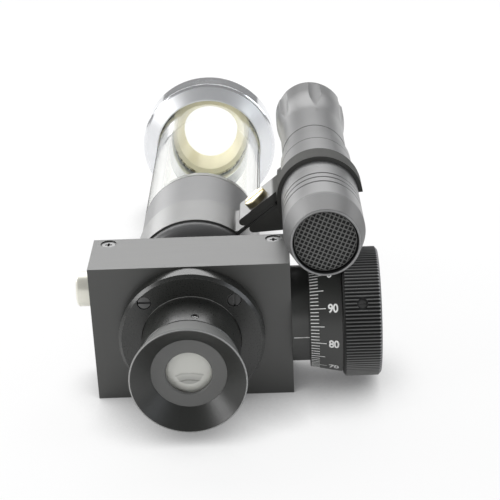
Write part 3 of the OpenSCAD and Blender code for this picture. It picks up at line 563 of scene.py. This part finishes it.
FINISH_OF = {
    box_black: "head_housing rear_cover",
    black_screw: "cover_screws flange_screws knob_set_screw",
    eye_black: "eyepiece_flange eyepiece_barrel objective_cell lens_ring",
    cell_black: "lens_cell",
    cup_black: "eyecup",
    steel: "barrel_set_screw guide_rods return_spring lead_spindle drum_end_screw neck_screws "
    "button_spring",
    eye_glass: "eye_lens",
    lens_glass: "field_lens scale_glass line_glass objective_lens torch_glass",
    machined: "reticle_carriage",
    part_brass: "carriage_nut light_module",
    plug_nickel: "spring_plug",
    drum_black: "micrometer_sleeve thimble",
    knob_black: "knurled_knob",
    tube_black: "tube_neck objective_tube",
    acrylic: "light_sleeve",
    foot_chrome: "foot_ring",
    ivory: "aperture_ring",
    coat_black: "tube_strap torch_clip",
    screw_brass: "clip_screw clip_nut",
    torch_black: "tail_cap torch_body torch_head torch_bezel",
    rubber: "tail_button",
    switch_plastic: "switch_module",
    cell_wrap: "torch_cell",
    mirror: "reflector",
}


def dress(piece, material):
    piece.data.materials.clear()
    piece.data.materials.append(material)


for material, names in FINISH_OF.items():
    for name in names.split():
        dress(solids[name], material)


# Modelling helpers


def alone(piece=None):
    """Deselects everything, then selects this piece alone."""
    if bpy.context.mode != "OBJECT":
        bpy.ops.object.mode_set(mode="OBJECT")
    bpy.ops.object.select_all(action="DESELECT")
    if piece:
        piece.select_set(True)
        bpy.context.view_layer.objects.active = piece


def settle(piece, place):
    """Puts the mesh in its place and leaves the object at the origin."""
    piece.data.transform(place @ piece.matrix_world)
    piece.matrix_world = Matrix.Identity(4)
    return piece


def joined(pieces, name):
    alone(pieces[0])
    for piece in pieces[1:]:
        piece.select_set(True)
    bpy.ops.object.join()
    made = bpy.context.view_layer.objects.active
    made.name = made.data.name = name
    return made


def again(piece):
    """A copy with a mesh of its own."""
    made = piece.copy()
    made.data = piece.data.copy()
    bpy.context.scene.collection.objects.link(made)
    return made


# The drum's scale

THIMBLE_X = 35.3
CONE_FROM, CONE_TO = THIMBLE_X + 0.1, 44.9
CONE_FROM_R, CONE_TO_R = 16.5, 18.3
SLOPE = (CONE_TO_R - CONE_FROM_R) / (CONE_TO - CONE_FROM)
SLEEVE_R = 14.6
NINETY_AT = -0.5412


def on_thimble(x, proud=0.0):
    """The thimble's radius at x, with the paint standing proud of it, in millimetres."""
    return CONE_FROM_R + SLOPE * (x - CONE_FROM) + proud


def on_sleeve(x):
    return SLEEVE_R


def mark_angle(n):
    """How far the mark n lies below the drum's front, in radians. The mark 90 faces the eye."""
    return NINETY_AT + (90 - n) * math.tau / 100


def round_drum(angle):
    """Turns what lies on the drum's front, facing the eye, up or down round its axis."""
    centre = Matrix.Translation(DRUM_AXIS[0])
    return centre @ Matrix.Rotation(angle, 4, "X") @ centre.inverted()


def paint_line(x0, x1, width, radius_at, name):
    """A thin line of paint along X on the drum's front, half sunk in the metal."""
    thick = 0.09
    alone()
    bpy.ops.mesh.primitive_cube_add(size=1)
    line = bpy.context.object
    line.name = name
    line.data.transform(Matrix.Diagonal(((x1 - x0) * MM, thick * MM, width * MM, 1)))
    tilt = math.atan2(radius_at(x1) - radius_at(x0), x1 - x0)
    mid = (x0 + x1) / 2
    place = Matrix.Translation(Vector((mid, DRUM_Y - radius_at(mid), DRUM_Z)) * MM)
    return settle(line, place @ Matrix.Rotation(-tilt, 4, "Z"))


def drum_scale():
    """A hundred marks round the thimble, longer at each five and longest at each ten."""
    start = THIMBLE_X + 0.25
    short, five, ten = (
        paint_line(start, start + length, 0.23, on_thimble, "mark") for length in (2.5, 4.1, 4.6)
    )
    made = []
    for n in range(100):
        line = again(ten if n % 10 == 0 else five if n % 5 == 0 else short)
        line.data.transform(round_drum(mark_angle(n)))
        made.append(line)
    for line in (short, five, ten):
        bpy.data.objects.remove(line)
    return joined(made, "drum_graduations")


def drum_numbers():
    """The plain numbers beside every tenth mark."""
    start, squeeze, proud = 40.75, 0.88, 0.02
    made = []
    for n in range(0, 100, 10):
        alone()
        bpy.ops.object.text_add()
        word = bpy.context.object
        word.data.body = str(n)
        word.data.size = 3.55
        word.data.align_x, word.data.align_y = "LEFT", "CENTER"
        word.data.offset = 0.105
        word.data.extrude = 0.03
        word.data.resolution_u = 4
        word.data.space_character = 0.95
        bpy.ops.object.convert(target="MESH")
        word = bpy.context.object
        # the flat word bends round the thimble: its width runs along X and its height round it
        low = min(v.co.y for v in word.data.vertices)
        high = max(v.co.y for v in word.data.vertices)
        left = min(v.co.x for v in word.data.vertices)
        for v in word.data.vertices:
            x = start + (v.co.x - left) * squeeze
            up = v.co.y - (low + high) / 2
            r = on_thimble(x, proud + v.co.z)
            a = mark_angle(n) - up / r
            v.co = Vector((x, DRUM_Y - r * math.cos(a), DRUM_Z - r * math.sin(a))) * MM
        made.append(word)
    return joined(made, "drum_numerals")


scale = drum_scale()
numbers = drum_numbers()
index = paint_line(30.5, 35.25, 0.24, on_sleeve, "index_line")
index.data.transform(round_drum(0.05))
for piece, body in ((scale, "drum"), (numbers, "drum"), (index, "stand")):
    dress(piece, paint)
    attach(piece, body)


# The dimpled tail button


def pick_faces(mesh, wanted):
    """Selects in edit mode the faces for which wanted is true."""
    bpy.ops.object.mode_set(mode="OBJECT")
    for part in (mesh.vertices, mesh.edges, mesh.polygons):
        part.foreach_set("select", [False] * len(part))
    for face in mesh.polygons:
        face.select = wanted(face)
    bpy.ops.object.mode_set(mode="EDIT")


def loop_out(down, spread=1.0):
    """Draws the selected rim on: down by so many millimetres, then wider or narrower."""
    bpy.ops.mesh.extrude_edges_move(TRANSFORM_OT_translate={"value": (0, 0, -down * MM)})
    if spread != 1.0:
        bpy.ops.transform.resize(value=(spread, spread, 1), center_override=(0, 0, 0))


def tail_pad():
    """A crowned disc of rubber whose face is a net of small square pits."""
    alone()
    pitch, turn, strand, deep = 1.24, math.radians(-24.4), 0.17, 0.35
    collar_r, flange_r, stem_r = PAD_R + 0.1, 9.8, 4
    bpy.ops.mesh.primitive_circle_add(vertices=128, radius=PAD_R * MM, fill_type="NGON")
    pad = bpy.context.object
    pad.name = "tail_pad"
    mesh = pad.data
    bpy.ops.object.mode_set(mode="EDIT")
    bpy.ops.mesh.select_mode(type="FACE")
    for across in (turn, turn + math.pi / 2):
        way = Vector((math.cos(across), math.sin(across), 0))
        for k in range(-7, 7):
            bpy.ops.mesh.select_all(action="SELECT")
            cut = way * (k + 0.5) * pitch * MM
            bpy.ops.mesh.bisect(plane_co=cut, plane_no=way, threshold=1e-6)
    pick_faces(mesh, lambda face: face.area > 0.3 * (pitch * MM) ** 2)
    bpy.ops.mesh.inset(thickness=strand * MM, use_individual=True)
    bpy.ops.mesh.inset(thickness=0.06 * MM, depth=-deep * MM, use_individual=True)
    bpy.ops.object.mode_set(mode="OBJECT")
    for v in mesh.vertices:
        v.co.z -= PAD_CROWN * MM * (v.co.to_2d().length / (PAD_R * MM)) ** 2
    bpy.ops.object.mode_set(mode="EDIT")
    bpy.ops.mesh.select_mode(type="EDGE")
    bpy.ops.mesh.select_all(action="DESELECT")
    bpy.ops.mesh.select_non_manifold(extend=False)
    loop_out(0.15, collar_r / PAD_R)
    loop_out(1.05)
    loop_out(0.0, flange_r / collar_r)
    loop_out(0.6)
    loop_out(0.0, stem_r / flange_r)
    loop_out(1.3)
    bpy.ops.mesh.edge_face_add()
    bpy.ops.mesh.select_all(action="SELECT")
    bpy.ops.mesh.normals_make_consistent(inside=False)
    bpy.ops.object.mode_set(mode="OBJECT")
    # the crown's top lies 0.8 mm inside the rim, and the pad's face looks out of the tail
    inside = Matrix.Translation((0, 0, 0.8 * MM))
    return settle(pad, TORCH @ inside @ Matrix.Rotation(math.pi, 4, "X"))


pad = tail_pad()
dress(pad, pad_black)
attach(pad, "button")
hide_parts("tail_button")


# Floor, lights, camera


def white_table():
    """White table under the foot's rim and the head box, tilted as the instrument lies. To the
    eye it is plain white, with a painted shadow from ambient occlusion close under what stands on
    it."""
    rise = 3.95 / 157.2
    alone()
    bpy.ops.mesh.primitive_plane_add(size=6)
    table = bpy.context.object
    table.name = "table"
    tilt = Matrix.Rotation(-math.atan(rise), 4, "X")
    settle(table, Matrix.Translation(Vector((0, -9.2, -25.85)) * MM) @ tilt)
    f = Finish("white_table")
    ray = f.node("LightPath")
    seen = f.value(ray, "Is Camera Ray").most(f.value(ray, "Is Glossy Ray"))
    seen = seen.most(f.value(ray, "Is Transmission Ray"))
    faint = f.noise(f.place(), 6.0, 2.0)
    lit = f.node(
        "BsdfPrincipled",
        None,
        Base_Color=f.shade((0.86, 0.86, 0.86), faint, 0.99, 1.01),
        Roughness=0.6,
        Specular_IOR_Level=0.2,
    )
    open_ = f.value(f.node("AmbientOcclusion", {"samples": 12}, Distance=0.026), "AO")
    # painted shadow: the white that the eye sees darkens where ambient occlusion is low
    tone = f.mix((open_ * 1.45 - 0.18).held(), wide(0.1, 0.1, 0.102), grey(1.0))
    white = f.node("Emission", None, Color=tone, Strength=1.0)
    dress(table, f.done(f.blend(seen * 0.88, lit, white)))


def white_room():
    """A room that is white to the eye and through glass, and lights the object a little."""
    world = bpy.data.worlds.new("white_room")
    bpy.context.scene.world = world
    world.use_nodes = True
    tree = world.node_tree
    tree.nodes.clear()
    end = tree.nodes.new("ShaderNodeOutputWorld")
    ray = tree.nodes.new("ShaderNodeLightPath")
    room = tree.nodes.new("ShaderNodeBackground")
    room.inputs["Color"].default_value = grey(0.23)
    white = tree.nodes.new("ShaderNodeBackground")
    white.inputs["Color"].default_value = grey(1.0)
    most = tree.nodes.new("ShaderNodeMath")
    most.operation = "MAXIMUM"
    tree.links.new(ray.outputs["Is Camera Ray"], most.inputs[0])
    tree.links.new(ray.outputs["Is Transmission Ray"], most.inputs[1])
    mix = tree.nodes.new("ShaderNodeMixShader")
    tree.links.new(most.outputs[0], mix.inputs[0])
    tree.links.new(room.outputs[0], mix.inputs[1])
    tree.links.new(white.outputs[0], mix.inputs[2])
    tree.links.new(mix.outputs[0], end.inputs[0])


MIDDLE = Vector((0.01, -0.1, 0.0))


def round_about(turn, rise, far=1.5):
    """A place seen from the object: degrees round from behind it towards the drum's side,
    degrees up from the table, and metres away."""
    turn, rise = math.radians(turn), math.radians(rise)
    level = Vector((math.sin(turn), math.cos(turn), 0)) * math.cos(rise)
    return MIDDLE + (level + Vector((0, 0, math.sin(rise)))) * far


def softbox(name, place, across, high, bright, tint=(1, 1, 1), aim=MIDDLE):
    """A soft panel of so many metres that faces the object, its light given as radiance."""
    lamp = bpy.data.lights.new(name, "AREA")
    lamp.shape, lamp.size, lamp.size_y = "RECTANGLE", across, high
    lamp.energy, lamp.color = bright * math.pi * across * high, tint
    box = bpy.data.objects.new(name, lamp)
    bpy.context.scene.collection.objects.link(box)
    box.location = place
    box.rotation_euler = (aim - place).to_track_quat("-Z", "Y").to_euler()
    box.visible_camera = False
    return box


white_table()
white_room()
bank = Vector((-0.09, 0.22, 0.37))
softbox("back_bank", bank, 0.78, 0.46, 3.1, aim=bank + Vector((0, -0.819, -0.574)))
softbox("left_panel", round_about(-43, 14), 1.05, 0.75, 3.5)
softbox("left_front_softbox", round_about(-116, 24), 0.6, 0.6, 6.6)
softbox("right_softbox", round_about(106, 27), 0.9, 0.8, 2.8, (0.9, 0.94, 1.0))
softbox("right_panel", round_about(52, 12), 1.1, 0.6, 2.6)
softbox("front_softbox", round_about(172, 9), 1.2, 0.45, 1.2)


def camera():
    """Where the photograph was taken from, looking down at the eyepiece."""
    yaw, pitch, roll = -0.0281, 0.4448, -0.0458
    ahead = Vector((math.sin(yaw), math.cos(yaw), 0)) * math.cos(pitch)
    ahead.z = -math.sin(pitch)
    level = Vector((math.cos(yaw), -math.sin(yaw), 0))
    upright = level.cross(ahead)
    right = level * math.cos(roll) + upright * math.sin(roll)
    up = upright * math.cos(roll) - level * math.sin(roll)
    lens = bpy.data.cameras.new("camera")
    lens.sensor_width, lens.lens = 36.0, 106.283
    lens.clip_start, lens.clip_end = 0.01, 20
    cam = bpy.data.objects.new("camera", lens)
    bpy.context.scene.collection.objects.link(cam)
    turn = Matrix((right, up, -ahead)).transposed().to_4x4()
    cam.matrix_world = Matrix.Translation(Vector((29.405, -552.154, 212.990)) * MM) @ turn
    bpy.context.scene.camera = cam


camera()
bpy.context.scene.view_settings.view_transform = "Standard"
